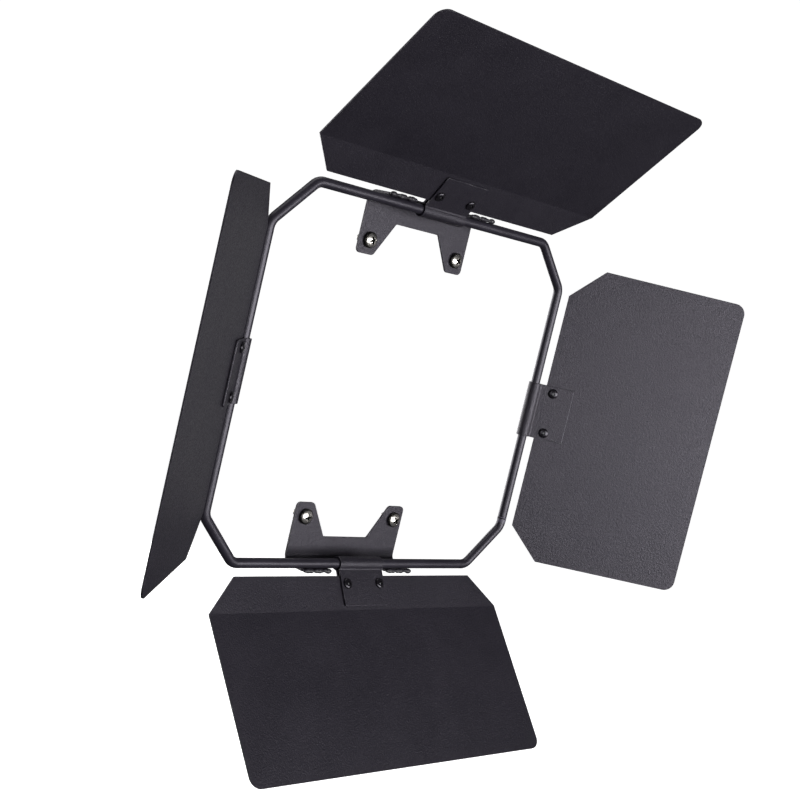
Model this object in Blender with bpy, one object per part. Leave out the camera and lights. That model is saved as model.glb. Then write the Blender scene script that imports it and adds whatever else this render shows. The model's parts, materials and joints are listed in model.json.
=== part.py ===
"""Four-leaf barn door attachment for a stage lamp.

A ring bent from round rod stands in front of the lamp's face plate on two folded brackets.
Four sheet-metal leaves hang on the ring's four straight sides, each on a strap folded round
the rod, which grips it by friction so that the leaf stays where it is put.

Metres, +Z up.  The lamp shines along -Y.  The origin is on the lamp's optical axis, in the
plane of the face plate that the brackets are screwed to.  Left and right are as seen from
in front of the lamp, looking along +Y.
"""

from math import atan2, cos, pi, radians, sin, sqrt, tan

import bmesh
import bpy
from mathutils import Matrix, Vector

MM = 0.001
GAP = 0.3 * MM                      # clearance between pieces that touch on the real object

# Ring: round rod bent to a rectangle with its corners cut off, butt-welded
ROD_RADIUS = 3.0 * MM
RING_HALF_WIDTH = 125.5 * MM        # to the rod's centre line
RING_HALF_HEIGHT = 108.25 * MM
RING_CORNER = 26.7 * MM             # leg of each 45 degree corner
RING_BEND_RADIUS = 9.0 * MM         # of the rod's centre line
RING_Y = -17.0 * MM                 # how far the ring stands in front of the face plate

# Mounting brackets: one above and one below, with two ears each
BRACKET_SHEET = 1.5 * MM
BRACKET_HALF_WIDTH = 45.5 * MM
EAR_END_Z = 75.5 * MM               # the ears' ends towards the optical axis
EAR_CORNER_RADIUS = 3.0 * MM
EAR_INNER_X = 32.0 * MM             # the notch's half width at the ears' ends
NOTCH_BASE_X = 18.5 * MM            # the notch's half width at its base
NOTCH_BASE_Z = 96.5 * MM
LIP_INNER_RADIUS = 5.0 * MM         # of the fold between the web and the lip
LIP_OVERHANG = 1.0 * MM             # how far the lip passes in front of the rod's centre
CLIP_NOTCH_X = 23.5 * MM            # half width of the gap in the lip that clears the strap
CLIP_NOTCH_DEPTH = 9.0 * MM

# Bracket screws: M5 pan head, cross recess
SCREW_X = 37.5 * MM
SCREW_Z = 84.0 * MM
SCREW_RADIUS = 2.5 * MM
SCREW_REACH = 8.0 * MM              # length of the shank behind the bracket
SCREW_HEAD_RADIUS = 4.75 * MM
SCREW_HEAD_HEIGHT = 3.4 * MM
SCREW_HOLE_RADIUS = SCREW_RADIUS + GAP
RECESS_SPAN = 5.6 * MM
RECESS_SLOT = 1.1 * MM
RECESS_DEPTH = 2.0 * MM

# Leaves: flat sheet, with 45 degree cuts at the hinge end and rounded far corners
LEAF_SHEET = 1.0 * MM
LEAF_START = 7.8 * MM               # from the rod's centre to the leaf's hinge edge
LEAF_REACH = 125.0 * MM             # from the rod's centre to the leaf's far edge
LEAF_CUT = 21.0 * MM                # leg of the 45 degree cuts
LEAF_TAPER = 0.5 * MM               # each side leans in by this much towards the far edge
LEAF_CORNER_RADIUS = 7.0 * MM
LEAF_FOLD_RADIUS = 4.0 * MM
WIDE_HALF_WIDTH = 120.0 * MM        # upper and lower leaf
NARROW_HALF_WIDTH = 100.0 * MM      # left and right leaf
WIDE_FOLD = radians(8.5)            # the wide leaves are folded forward where their cuts end

# Hinge straps
STRAP_SHEET = 1.0 * MM
STRAP_HALF_WIDTH = 18.0 * MM
STRAP_FRONT_REACH = 26.5 * MM       # front flap, from the rod's centre
STRAP_REAR_REACH = 20.0 * MM        # rear flap
STRAP_THROAT_RADIUS = 2.0 * MM      # where the flaps leave the rod
STRAP_CORNER_RADIUS = 1.2 * MM

# Blind rivets through strap and leaf
RIVET_OFFSET = 13.5 * MM            # either side of the strap's middle
RIVET_DISTANCE = 13.0 * MM          # from the rod's centre
RIVET_RADIUS = 1.9 * MM
RIVET_BORE = 1.1 * MM
RIVET_HEAD_RADIUS = 3.25 * MM
RIVET_HEAD_HEIGHT = 1.3 * MM
RIVET_BULB_RADIUS = 2.7 * MM
RIVET_BULB_LENGTH = 2.2 * MM
MANDREL_RADIUS = 0.8 * MM
MANDREL_HEAD_RADIUS = 1.6 * MM
RIVET_HOLE_RADIUS = RIVET_RADIUS + GAP

# Weld beads between the brackets' lips and the rod
BEAD_RADIUS = 0.85 * MM
BEAD_HALF_LENGTH = 10.0 * MM

# How far each leaf is swung forward, out of the ring's plane
OPEN_ANGLE = {
    "top": radians(35.9),
    "bottom": radians(32.9),
    "left": radians(41.6),
    "right": radians(42.8),
}

TURN_STEPS = 16                     # facets round a turned piece


# ---------------------------------------------------------------- materials

def paint(name, colour, roughness, metallic):
    """A Principled material."""
    material = bpy.data.materials.new(name)
    material.use_nodes = True
    shader = material.node_tree.nodes["Principled BSDF"]
    shader.inputs["Base Color"].default_value = (*colour, 1.0)
    shader.inputs["Roughness"].default_value = roughness
    shader.inputs["Metallic"].default_value = metallic
    material.diffuse_color = (*colour, 1.0)
    return material


def make_materials():
    """Every material of the object, by name."""
    return {
        "powder_coat": paint("powder_coat", (0.030, 0.028, 0.033), 0.62, 0.0),
        "satin_rod": paint("satin_rod", (0.022, 0.021, 0.025), 0.38, 0.0),
        "nickel": paint("nickel", (0.62, 0.58, 0.52), 0.22, 1.0),
        "black_rivet": paint("black_rivet", (0.018, 0.017, 0.019), 0.30, 0.0),
        "mandrel_steel": paint("mandrel_steel", (0.10, 0.10, 0.11), 0.35, 1.0),
        "weld": paint("weld", (0.035, 0.033, 0.037), 0.50, 0.0),
    }


# ---------------------------------------------------------------- mesh helpers

def add_object(name, mesh_data, material, parent=None):
    """An object of a mesh, with its material and, if it has one, its parent."""
    thing = bpy.data.objects.new(name, mesh_data)
    bpy.context.scene.collection.objects.link(thing)
    mesh_data.materials.append(material)
    thing.parent = parent
    return thing


def finish_mesh(mesh, name, sharp_angle=radians(35)):
    """Turn a bmesh into mesh data with outward normals, shaded smooth but for its sharp edges."""
    bmesh.ops.recalc_face_normals(mesh, faces=mesh.faces[:])
    data = bpy.data.meshes.new(name)
    mesh.to_mesh(data)
    mesh.free()
    data.shade_smooth()
    data.set_sharp_from_angle(angle=sharp_angle)
    return data


def turned_mesh(name, profile, steps=TURN_STEPS, closed=False):
    """Mesh turned about Z from (radius, height) points; a closed profile makes a tube."""
    mesh = bmesh.new()
    rings = []
    for radius, height in profile:
        if radius == 0.0:
            rings.append([mesh.verts.new((0.0, 0.0, height))] * steps)
            continue
        angles = (2 * pi * step / steps for step in range(steps))
        rings.append([mesh.verts.new((radius * cos(a), radius * sin(a), height)) for a in angles])
    pairs = list(zip(rings, rings[1:]))
    if closed:
        pairs.append((rings[-1], rings[0]))
    for lower, upper in pairs:
        for step in range(steps):
            after = (step + 1) % steps
            corners = dict.fromkeys((lower[step], lower[after], upper[after], upper[step]))
            mesh.faces.new(corners)
    return finish_mesh(mesh, name)


def cut(target, name, cutter_mesh, placement):
    """Cut a shape out of an object with a Boolean; the cutter is only a guide."""
    cutter = bpy.data.objects.new(name, cutter_mesh)
    bpy.context.scene.collection.objects.link(cutter)
    cutter.matrix_world = placement
    cutter.hide_render = True
    cutter.display_type = "WIRE"
    modifier = target.modifiers.new(name, "BOOLEAN")
    modifier.operation = "DIFFERENCE"
    modifier.object = cutter


def rounded_outline(corners, steps=5):
    """Outline through (x, y, radius) corners, each rounded with an arc of its radius."""
    outline = []
    count = len(corners)
    for index, (x, y, radius) in enumerate(corners):
        corner = Vector((x, y))
        if radius == 0.0:
            outline.append(corner)
            continue
        before = (Vector(corners[index - 1][:2]) - corner).normalized()
        after = (Vector(corners[(index + 1) % count][:2]) - corner).normalized()
        half = before.angle(after) / 2
        centre = corner + (before + after).normalized() * radius / sin(half)
        start = corner + before * radius / tan(half) - centre
        sweep = start.angle_signed(corner + after * radius / tan(half) - centre)
        for step in range(steps + 1):
            outline.append(centre + Matrix.Rotation(-sweep * step / steps, 2) @ start)
    return outline


class Path:
    """A flat path of straight runs and arcs, which a sheet is folded along.

    Positions and normals are given by the distance from the path's start.
    """

    def __init__(self, start, heading):
        self.point = Vector(start)
        self.heading = heading
        self.length = 0.0
        self.runs = []
        self.breaks = []

    def straight(self, length):
        self.runs.append((self.length, self.point.copy(), self.heading, 0.0))
        self.point += length * Vector((cos(self.heading), sin(self.heading)))
        self.length += length
        return self

    def arc(self, radius, angle, steps):
        """Turn left by an angle, or right if it is negative."""
        curvature = (1.0 if angle > 0 else -1.0) / radius
        self.runs.append((self.length, self.point.copy(), self.heading, curvature))
        length = radius * abs(angle)
        self.breaks += [self.length + length * step / steps for step in range(steps + 1)]
        self.point = self._along(self.runs[-1], length)[0]
        self.heading += angle
        self.length += length
        return self

    @staticmethod
    def _along(run, distance):
        _, point, heading, curvature = run
        if curvature == 0.0:
            return point + distance * Vector((cos(heading), sin(heading))), heading
        turned = heading + distance * curvature
        offset = Vector((sin(turned) - sin(heading), cos(heading) - cos(turned))) / curvature
        return point + offset, turned

    def at(self, distance):
        """Point and left-hand normal at a distance along the path."""
        run = [each for each in self.runs if each[0] <= distance + 1e-9][-1]
        point, heading = self._along(run, distance - run[0])
        return point, Vector((-sin(heading), cos(heading)))


def folded_sheet_mesh(name, outline, path, thickness):
    """Sheet metal cut to an outline of (across, along) points and folded along a path.

    The path lies in the mesh's YZ plane and the outline's first coordinate runs along X.
    """
    mesh = bmesh.new()
    mesh.faces.new([mesh.verts.new((x, along, 0.0)) for x, along in outline])
    for distance in path.breaks:
        geometry = mesh.verts[:] + mesh.edges[:] + mesh.faces[:]
        plane_point = (0.0, distance, 0.0)
        bmesh.ops.bisect_plane(
            mesh, geom=geometry, dist=1e-7, plane_co=plane_point, plane_no=(0.0, 1.0, 0.0))
    lower_faces = mesh.faces[:]
    grown = bmesh.ops.extrude_face_region(mesh, geom=lower_faces, use_keep_orig=True)
    upper = {item for item in grown["geom"] if isinstance(item, bmesh.types.BMVert)}
    for vertex in mesh.verts:
        point, normal = path.at(vertex.co.y)
        side = 0.5 if vertex in upper else -0.5
        place = point + normal * side * thickness
        vertex.co = Vector((vertex.co.x, place.x, place.y))
    return finish_mesh(mesh, name, radians(25))


# ---------------------------------------------------------------- ring

def ring_points():
    """Centre line of the rod, with an arc at each of its eight bends."""
    w, h, c = RING_HALF_WIDTH, RING_HALF_HEIGHT, RING_CORNER
    right = [(w - c, h), (w, h - c), (w, c - h), (w - c, -h)]
    left = [(-x, z) for x, z in reversed(right)]
    return rounded_outline([(x, z, RING_BEND_RADIUS) for x, z in right + left], steps=5)


def make_ring(materials):
    """The rod as one closed loop."""
    curve = bpy.data.curves.new("ring", "CURVE")
    curve.dimensions = "3D"
    curve.bevel_depth = ROD_RADIUS
    curve.bevel_resolution = 4
    points = ring_points()
    spline = curve.splines.new("POLY")
    spline.points.add(len(points) - 1)
    for slot, (x, z) in zip(spline.points, points):
        slot.co = (x, RING_Y, z, 1.0)
    spline.use_cyclic_u = True
    spline.use_smooth = True
    ring = bpy.data.objects.new("ring", curve)
    bpy.context.scene.collection.objects.link(ring)
    curve.materials.append(materials["satin_rod"])


# ---------------------------------------------------------------- brackets

def bracket_path():
    """From the ears' ends outwards up the web, round the fold and forward along the lip.

    Its first coordinate is the bracket's Y and its second the distance from the optical axis.
    """
    mid_radius = LIP_INNER_RADIUS + BRACKET_SHEET / 2
    lip_z = RING_HALF_HEIGHT + ROD_RADIUS + GAP + BRACKET_SHEET / 2
    path = Path((-BRACKET_SHEET / 2, EAR_END_Z), pi / 2)
    path.straight(lip_z - mid_radius - EAR_END_Z)
    path.arc(mid_radius, pi / 2, 6)
    lip_length = path.point.x - (RING_Y - LIP_OVERHANG)
    path.straight(lip_length)
    return path


def bracket_outline(path):
    """Flat pattern of a bracket: two ears, the notch between them, the web and the lip's two tabs."""
    base = NOTCH_BASE_Z - EAR_END_Z
    end = path.length
    notch = end - CLIP_NOTCH_DEPTH
    half = [
        (NOTCH_BASE_X, base, 1.5 * MM),
        (EAR_INNER_X, 0.0, EAR_CORNER_RADIUS),
        (BRACKET_HALF_WIDTH, 0.0, EAR_CORNER_RADIUS),
        (BRACKET_HALF_WIDTH, end, 1.0 * MM),
        (CLIP_NOTCH_X, end, 1.0 * MM),
        (CLIP_NOTCH_X, notch, 1.0 * MM),
    ]
    return rounded_outline(half + [(-x, along, radius) for x, along, radius in reversed(half)])


def drill_mesh(radius, reach):
    """Cutter for a round hole along Z, reaching equally far both ways."""
    return turned_mesh("drill", [(0.0, -reach), (radius, -reach), (radius, reach), (0.0, reach)])


def make_bracket(name, up, materials):
    """One bracket; up is 1 above the lamp's axis and -1 below it."""
    path = bracket_path()
    mesh = folded_sheet_mesh(name, bracket_outline(path), path, BRACKET_SHEET)
    bracket = add_object(name, mesh, materials["powder_coat"])
    bracket.rotation_euler = (0.0, 0.0 if up > 0 else pi, 0.0)
    for side in (-1, 1):
        place = Matrix.Translation((side * SCREW_X, 0.0, up * SCREW_Z)) @ Matrix.Rotation(pi / 2, 4, "X")
        cut(bracket, f"drill_{name}_{side}", drill_mesh(SCREW_HOLE_RADIUS, 10 * MM), place)


def screw_profile():
    """Half section of a bracket screw, its head up and the head's underside at zero."""
    dome_steps = 5
    rim = 0.9 * MM                  # height of the head's straight rim
    dome = []
    for step in range(dome_steps + 1):
        angle = pi / 2 * step / dome_steps
        dome.append((SCREW_HEAD_RADIUS * cos(angle) ** 0.7, rim + (SCREW_HEAD_HEIGHT - rim) * sin(angle)))
    dome[-1] = (0.0, SCREW_HEAD_HEIGHT)
    end = -(BRACKET_SHEET + GAP + SCREW_REACH)
    tip = 0.6 * MM
    shank = [(0.0, end), (SCREW_RADIUS - tip, end), (SCREW_RADIUS, end + tip), (SCREW_RADIUS, 0.0)]
    return shank + [(SCREW_HEAD_RADIUS, 0.0)] + dome


def recess_mesh():
    """Cross-shaped cutter for a screw head's recess, narrowing downwards."""
    mesh = bmesh.new()
    narrowing = 0.55                # of the recess's floor
    widening = 1.1                  # of the cutter above the head
    roof_height = 1.0 * MM
    wide, slot = RECESS_SPAN / 2, RECESS_SLOT / 2
    wing = [Vector((wide, -slot)), Vector((wide, slot)), Vector((slot, slot))]
    cross = [Matrix.Rotation(quarter * pi / 2, 2) @ corner for quarter in range(4) for corner in wing]
    floor_verts = [mesh.verts.new((*(corner * narrowing), -RECESS_DEPTH)) for corner in cross]
    roof_verts = [mesh.verts.new((*(corner * widening), roof_height)) for corner in cross]
    mesh.faces.new(floor_verts)
    mesh.faces.new(roof_verts)
    for index in range(len(cross)):
        after = (index + 1) % len(cross)
        mesh.faces.new((floor_verts[index], floor_verts[after], roof_verts[after], roof_verts[index]))
    return finish_mesh(mesh, "recess")


def make_bracket_screws(materials):
    """Four screws, heads forward, each turned to a different angle as they were driven."""
    head_face = -(BRACKET_SHEET + GAP)
    places = (
        ("upper_left", -1, 1, 20),
        ("upper_right", 1, 1, 65),
        ("lower_left", -1, -1, 10),
        ("lower_right", 1, -1, 38),
    )
    for label, side, up, turn in places:
        name = f"bracket_screw_{label}"
        screw = add_object(name, turned_mesh(name, screw_profile()), materials["nickel"])
        facing = Matrix.Rotation(pi / 2, 4, "X") @ Matrix.Rotation(radians(turn), 4, "Z")
        screw.matrix_world = Matrix.Translation((side * SCREW_X, head_face, up * SCREW_Z)) @ facing
        bpy.context.view_layer.update()
        head_top = screw.matrix_world @ Matrix.Translation((0, 0, SCREW_HEAD_HEIGHT))
        cut(screw, f"recess_{label}", recess_mesh(), head_top)


def bead_profile():
    """Half section of a weld bead: overlapping puddles with blunt ends."""
    puddles = 7
    steps_each = 2
    total = puddles * steps_each
    profile = [(0.0, -BEAD_HALF_LENGTH)]
    for step in range(1, total):
        along = step / total
        ripple = abs(sin(pi * puddles * along))
        taper = min(1.0, 6 * min(along, 1 - along))
        radius = BEAD_RADIUS * (0.72 + 0.28 * ripple) * sqrt(taper)
        profile.append((radius, BEAD_HALF_LENGTH * (2 * along - 1)))
    profile.append((0.0, BEAD_HALF_LENGTH))
    return profile


def make_weld_beads(materials):
    """A bead along each lip tab's front edge, in the corner between the tab and the rod."""
    bead_y = RING_Y - LIP_OVERHANG - GAP - BEAD_RADIUS
    bead_z = RING_HALF_HEIGHT + ROD_RADIUS + BEAD_RADIUS
    middle_x = (BRACKET_HALF_WIDTH + CLIP_NOTCH_X) / 2
    for up, level in ((1, "upper"), (-1, "lower")):
        for side, hand in ((-1, "left"), (1, "right")):
            name = f"weld_{level}_{hand}"
            bead = add_object(name, turned_mesh(name, bead_profile(), steps=8), materials["weld"])
            place = Matrix.Translation((side * middle_x, bead_y, up * bead_z))
            bead.matrix_world = place @ Matrix.Rotation(pi / 2, 4, "Y")


# ---------------------------------------------------------------- leaves and their hinges
#
# A leaf and its hinge are modelled in the hinge's frame: X along the rod, Y from the rod out
# along the leaf and Z out of the leaf's front face.

def hinge_frame(side):
    """Empty on the middle of one side of the ring, turned so that its leaf is swung forward."""
    empty = bpy.data.objects.new(f"hinge_{side}", None)
    bpy.context.scene.collection.objects.link(empty)
    quarter = {"top": 0, "left": 1, "bottom": 2, "right": 3}[side]
    distance = RING_HALF_HEIGHT if quarter % 2 == 0 else RING_HALF_WIDTH
    stand = Matrix.Rotation(pi / 2, 4, "X")             # leaf up, front face forward
    about_axis = Matrix.Rotation(-quarter * pi / 2, 4, "Y")
    swing = Matrix.Rotation(OPEN_ANGLE[side], 4, "X")
    lift = Matrix.Translation((0.0, RING_Y, distance))
    centre = Matrix.Translation((0.0, RING_Y, 0.0))
    empty.matrix_world = centre @ about_axis @ centre.inverted() @ lift @ stand @ swing
    bpy.context.view_layer.update()
    return empty


def leaf_outline(half_width):
    """Flat pattern of a leaf, measured along it from its hinge edge."""
    length = LEAF_REACH - LEAF_START
    narrow, far = half_width - LEAF_CUT, half_width - LEAF_TAPER
    half = [
        (narrow, 0.0, 0.0),
        (half_width, LEAF_CUT, 0.0),
        (far, length, LEAF_CORNER_RADIUS),
    ]
    return rounded_outline(half + [(-x, along, radius) for x, along, radius in reversed(half)])


def leaf_path(fold):
    """Straight out from the rod, with a shallow fold forward where the 45 degree cuts end."""
    path = Path((LEAF_START, 0.0), 0.0)
    length = LEAF_REACH - LEAF_START
    if fold:
        half_arc = LEAF_FOLD_RADIUS * fold / 2
        path.straight(LEAF_CUT - half_arc)
        path.arc(LEAF_FOLD_RADIUS, fold, 3)
        path.straight(length - LEAF_CUT - half_arc)
    else:
        path.straight(length)
    return path


def strap_path():
    """From the front flap's end in to the rod, round it and out again to the rear flap's end.

    Each flap leaves the rod through a small throat that curves the other way.
    """
    flap_height = LEAF_SHEET / 2 + GAP + STRAP_SHEET / 2
    wrap = ROD_RADIUS + GAP + STRAP_SHEET / 2
    throat = STRAP_THROAT_RADIUS
    throat_angle = atan2(sqrt((wrap + throat) ** 2 - (flap_height + throat) ** 2), flap_height + throat)
    throat_y = (wrap + throat) * sin(throat_angle)
    path = Path((STRAP_FRONT_REACH, flap_height), pi)
    path.straight(STRAP_FRONT_REACH - throat_y)
    path.arc(throat, -throat_angle, 3)
    path.arc(wrap, pi + 2 * throat_angle, 16)
    path.arc(throat, -throat_angle, 3)
    path.straight(STRAP_REAR_REACH - throat_y)
    return path


def strap_outline(length):
    """Flat pattern of a strap: a plain strip with rounded corners."""
    w, r = STRAP_HALF_WIDTH, STRAP_CORNER_RADIUS
    return rounded_outline([(-w, 0.0, r), (w, 0.0, r), (w, length, r), (-w, length, r)], steps=3)


def drill_rivet_holes(target, frame, label):
    """Two holes through a strap or a leaf."""
    for index, side in enumerate((-1, 1)):
        place = frame.matrix_world @ Matrix.Translation((side * RIVET_OFFSET, RIVET_DISTANCE, 0.0))
        cut(target, f"rivet_hole_{label}_{index}", drill_mesh(RIVET_HOLE_RADIUS, 5 * MM), place)


def rivet_profile():
    """Half section of a set blind rivet: domed head in front, pulled bulb behind, bore through it."""
    front = LEAF_SHEET / 2 + GAP + STRAP_SHEET + GAP
    back = -front
    rim = 0.25 * MM                 # height of the head's straight rim
    dome = []
    dome_steps = 3
    for step in range(dome_steps + 1):
        angle = pi / 2 * step / dome_steps
        radius = RIVET_BORE + (RIVET_HEAD_RADIUS - RIVET_BORE) * cos(angle)
        dome.append((radius, front + rim + (RIVET_HEAD_HEIGHT - rim) * sin(angle)))
    bulb = [
        (RIVET_RADIUS, back),
        (RIVET_BULB_RADIUS, back),
        (RIVET_BULB_RADIUS, back - RIVET_BULB_LENGTH * 0.5),
        (RIVET_BULB_RADIUS * 0.85, back - RIVET_BULB_LENGTH * 0.85),
        (RIVET_RADIUS, back - RIVET_BULB_LENGTH),
        (RIVET_BORE, back - RIVET_BULB_LENGTH),
    ]
    return list(reversed(bulb)) + [(RIVET_RADIUS, front), (RIVET_HEAD_RADIUS, front)] + dome


def mandrel_profile():
    """Half section of the stub of the rivet's pulling pin, left in its bore."""
    front = LEAF_SHEET / 2 + GAP + STRAP_SHEET + GAP + RIVET_HEAD_HEIGHT
    back = -(LEAF_SHEET / 2 + GAP + STRAP_SHEET + GAP) - RIVET_BULB_LENGTH - GAP
    return [
        (0.0, back - 1.4 * MM),
        (MANDREL_HEAD_RADIUS * 0.7, back - 1.2 * MM),
        (MANDREL_HEAD_RADIUS, back - 0.6 * MM),
        (MANDREL_HEAD_RADIUS, back),
        (MANDREL_RADIUS, back),
        (MANDREL_RADIUS, front - 0.7 * MM),
        (MANDREL_RADIUS * 0.6, front - 0.5 * MM),
        (0.0, front - 0.45 * MM),
    ]


def make_leaf_and_hinge(side, materials):
    """One leaf with its strap and the two rivets that join them."""
    frame = hinge_frame(side)
    wide = side in ("top", "bottom")
    half_width = WIDE_HALF_WIDTH if wide else NARROW_HALF_WIDTH
    name = f"leaf_{side}"
    path = leaf_path(WIDE_FOLD if wide else 0.0)
    leaf_mesh = folded_sheet_mesh(name, leaf_outline(half_width), path, LEAF_SHEET)
    leaf = add_object(name, leaf_mesh, materials["powder_coat"], frame)
    drill_rivet_holes(leaf, frame, name)
    name = f"hinge_strap_{side}"
    path = strap_path()
    strap_mesh = folded_sheet_mesh(name, strap_outline(path.length), path, STRAP_SHEET)
    strap = add_object(name, strap_mesh, materials["powder_coat"], frame)
    drill_rivet_holes(strap, frame, name)
    for index, hand in enumerate((-1, 1), start=1):
        place = Matrix.Translation((hand * RIVET_OFFSET, RIVET_DISTANCE, 0.0))
        name = f"rivet_{side}_{index}"
        rivet_mesh = turned_mesh(name, rivet_profile(), closed=True)
        rivet = add_object(name, rivet_mesh, materials["black_rivet"], frame)
        rivet.matrix_local = place
        name = f"rivet_pin_{side}_{index}"
        pin_mesh = turned_mesh(name, mandrel_profile(), steps=8)
        pin = add_object(name, pin_mesh, materials["mandrel_steel"], frame)
        pin.matrix_local = place


def main():
    for thing in list(bpy.data.objects):
        bpy.data.objects.remove(thing, do_unlink=True)
    materials = make_materials()
    make_ring(materials)
    make_bracket("bracket_upper", 1, materials)
    make_bracket("bracket_lower", -1, materials)
    make_bracket_screws(materials)
    make_weld_beads(materials)
    for side in ("top", "bottom", "left", "right"):
        make_leaf_and_hinge(side, materials)


main()
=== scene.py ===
"""Barn door attachment for a stage lamp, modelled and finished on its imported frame.

Four sheet-metal leaves hang on a ring of round rod, each on a strap folded round the rod, and
two brackets carry the ring in front of the lamp.  Metres, +Z up; the lamp shines along -Y.

Sheet pieces are shaped in a frame of their own: X across the sheet, Y out along it and Z out
of its front.  For a leaf and its hinge that frame stands on the hinge's axis.
"""

import json
from math import atan2, cos, hypot, pi, radians, sin, sqrt, tan
import bmesh
import bpy
from bpy.props import FloatProperty, FloatVectorProperty, PointerProperty
from mathutils import Matrix, Quaternion, Vector


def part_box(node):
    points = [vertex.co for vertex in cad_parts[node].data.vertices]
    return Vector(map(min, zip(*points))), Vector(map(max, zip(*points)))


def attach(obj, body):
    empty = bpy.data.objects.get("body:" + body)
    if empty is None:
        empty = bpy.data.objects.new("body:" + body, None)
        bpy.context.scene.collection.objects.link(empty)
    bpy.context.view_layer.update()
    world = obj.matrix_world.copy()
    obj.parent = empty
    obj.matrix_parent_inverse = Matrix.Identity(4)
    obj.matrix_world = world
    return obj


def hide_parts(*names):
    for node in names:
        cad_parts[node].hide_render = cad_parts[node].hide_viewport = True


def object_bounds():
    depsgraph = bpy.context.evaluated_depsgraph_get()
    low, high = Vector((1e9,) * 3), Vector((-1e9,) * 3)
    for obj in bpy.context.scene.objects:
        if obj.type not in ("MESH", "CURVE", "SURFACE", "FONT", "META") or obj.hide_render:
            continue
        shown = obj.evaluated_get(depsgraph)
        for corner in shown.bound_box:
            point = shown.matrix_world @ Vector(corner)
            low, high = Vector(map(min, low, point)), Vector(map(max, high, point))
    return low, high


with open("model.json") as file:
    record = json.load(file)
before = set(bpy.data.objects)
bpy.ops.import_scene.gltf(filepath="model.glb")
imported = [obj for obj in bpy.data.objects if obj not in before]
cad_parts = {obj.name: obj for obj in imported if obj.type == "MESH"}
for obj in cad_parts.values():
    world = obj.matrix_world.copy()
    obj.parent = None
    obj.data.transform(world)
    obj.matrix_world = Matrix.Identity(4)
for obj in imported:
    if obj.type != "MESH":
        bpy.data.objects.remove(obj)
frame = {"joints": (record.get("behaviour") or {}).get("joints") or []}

bl_info = {
    "name": "Barn door attachment",
    "version": (1, 0, 0),
    "blender": (4, 5, 0),
    "location": "3D View > Sidebar > Barn Door",
    "description": "Rod ring, brackets, strap hinges, four leaves and their fixings",
    "category": "Add Mesh",
}

CAD_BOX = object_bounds()
RING_LOW, RING_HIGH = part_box("ring")
HINGES = {joint["name"].split("_")[0]: joint for joint in frame["joints"]}
SIDES = ("top", "bottom", "left", "right")
LEVELS = (("upper", 1), ("lower", -1))
HANDS = (("left", -1), ("right", 1))
STAND_UP = Matrix.Rotation(pi / 2, 4, "X")      # turns a piece's own Y up and its front forward
CLEARANCE = 0.0003                              # between pieces that touch on the real object
COAT_SHEEN = (0.93, 0.885, 1.0)                 # the black coat's reflections are a little violet


# ---------------------------------------------------------------- sizes and finishes

def length_setting(name, description, default):
    """A size in metres."""
    return FloatProperty(name=name, description=description, default=default, precision=5, unit="LENGTH")


def angle_setting(name, description, degrees):
    """An angle, given in degrees."""
    return FloatProperty(name=name, description=description, default=radians(degrees), unit="ROTATION")


def share_setting(name, description, default):
    """A share between 0 and 1."""
    return FloatProperty(
        name=name, description=description, default=default, min=0.0, max=1.0, subtype="FACTOR")


def power_setting(name, description, default):
    """A light's power in watts."""
    return FloatProperty(name=name, description=description, default=default, unit="POWER")


def colour_setting(name, description, default):
    """A linear colour."""
    return FloatVectorProperty(name=name, description=description, default=default, subtype="COLOR")


class RingSizes(bpy.types.PropertyGroup):
    """Round rod bent to a rectangle with its corners cut off."""

    rod_radius: length_setting("Rod radius", "Half the rod's diameter", (RING_HIGH.y - RING_LOW.y) / 2)
    corner_leg: length_setting("Corner leg", "How much each 45 degree corner takes off a side", 0.0267)
    bend_radius: length_setting("Bend radius", "Radius of the rod's centre line in a bend", 0.009)


class BracketSizes(bpy.types.PropertyGroup):
    """Folded bracket with two ears, a web and a lip of two tabs."""

    sheet: length_setting("Sheet", "Thickness of the bracket's sheet", 0.0015)
    half_width: length_setting("Half width", "Half the bracket's width", 0.0455)
    ear_end: length_setting("Ear end", "Height of the ears' ends above the optical axis", 0.0755)
    ear_inner: length_setting("Ear inner", "Half width of the notch at the ears' ends", 0.032)
    ear_radius: length_setting("Ear radius", "Radius of the ears' corners", 0.003)
    notch_half: length_setting("Notch half width", "Half width of the notch at its base", 0.0185)
    notch_base: length_setting(
        "Notch base", "Height of the notch's base above the optical axis", 0.0965)
    fold_radius: length_setting("Fold radius", "Inner radius of the fold between web and lip", 0.005)
    overhang: length_setting(
        "Lip overhang", "How far the lip passes in front of the rod's centre", 0.001)
    clip_gap: length_setting("Clip gap", "Half width of the gap between the lip's tabs", 0.0235)
    tab_length: length_setting("Tab length", "Depth of the gap between the lip's tabs", 0.009)
    hole_radius: length_setting(
        "Screw hole radius", "Radius of the holes for the bracket screws", 0.0028)


class ScrewSizes(bpy.types.PropertyGroup):
    """M5 pan head screw with a cross recess."""

    offset_x: length_setting("Offset across", "From the optical axis to a screw, across", 0.0375)
    offset_z: length_setting("Offset up", "From the optical axis to a screw, up or down", 0.084)
    head_radius: length_setting("Head radius", "Radius of the screw's head", 0.00475)
    head_height: length_setting("Head height", "Height of the screw's head", 0.0034)
    thread_radius: length_setting("Thread radius", "Radius over the thread's crests", 0.0025)
    core_radius: length_setting("Core radius", "Radius at the thread's roots", 0.00207)
    pitch: length_setting("Pitch", "Advance of the thread in one turn", 0.0008)
    reach: length_setting("Reach", "Length of the shank behind the bracket", 0.008)
    recess_span: length_setting("Recess span", "Length of the cross recess at the head's top", 0.0054)
    recess_slot: length_setting("Recess slot", "Width of the cross recess at the head's top", 0.0012)
    recess_depth: length_setting("Recess depth", "Depth of the cross recess", 0.002)


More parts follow.
